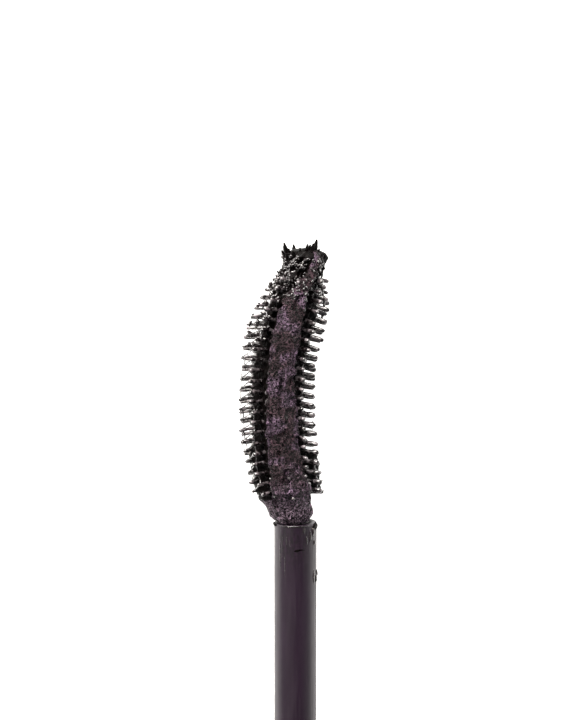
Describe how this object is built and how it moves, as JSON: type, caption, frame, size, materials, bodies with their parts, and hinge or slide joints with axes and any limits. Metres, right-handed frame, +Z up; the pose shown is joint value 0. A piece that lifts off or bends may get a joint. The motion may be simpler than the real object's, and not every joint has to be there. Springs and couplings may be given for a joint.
{
  "type": "mascara tube",
  "caption": "Mascara tube lying open: a bottle with a wiper in its neck, and in line with it a capped wand with a curved, bristled, mascara-coated brush.",
  "frame": {"origin": "on the table, under the middle of the open tube's length, half way between the cap's closed end and the bottle's base", "axes": "+X along the common axis from the cap to the bottle's base, +Y to the side that the brush bulges towards, +Z up from the table"},
  "size_m": [0.216, 0.0182, 0.0182],
  "materials": {
    "shell_gloss": "smooth moulded plastic between gloss and satin, very dark aubergine",
    "trim_metal": "satin turned aluminium, lightly brushed",
    "weight_steel": "plain turned steel",
    "liner_plastic": "matte moulded polypropylene",
    "stem_plastic": "satin moulded polypropylene, dark aubergine",
    "washer_foam": "soft pale washer",
    "brush_elastomer": "soft moulded elastomer, wet with mascara",
    "bottle_plastic": "gloss blow-moulded plastic",
    "wiper_rubber": "soft milky low-density polyethylene",
    "mascara_paste": "thick wet paste"
  },
  "bodies": {
    "tube": {"bottle": "bottle_plastic", "bottle_sleeve": "shell_gloss", "collar_ring": "trim_metal", "base_disc": "shell_gloss", "wiper": "wiper_rubber", "mascara_fill": "mascara_paste"},
    "washer": {"seal_washer": "washer_foam"},
    "wand": {"outer_cap": "shell_gloss", "cap_end_disc": "trim_metal", "cap_weight": "weight_steel", "inner_cap": "liner_plastic", "stem": "stem_plastic", "brush": "brush_elastomer"}
  },
  "joints": [
    {"name": "wand_pull", "type": "slide", "parent": "tube", "child": "washer", "axis": [1, 0, 0], "range_m": [0, 0.10235], "deforming": ["wiper"]},
    {"name": "cap_turn", "type": "hinge", "parent": "washer", "child": "wand", "pos_m": [-0.0735, 0, 0.0091], "axis": [1, 0, 0], "range_deg": [0, 90]}
  ]
}
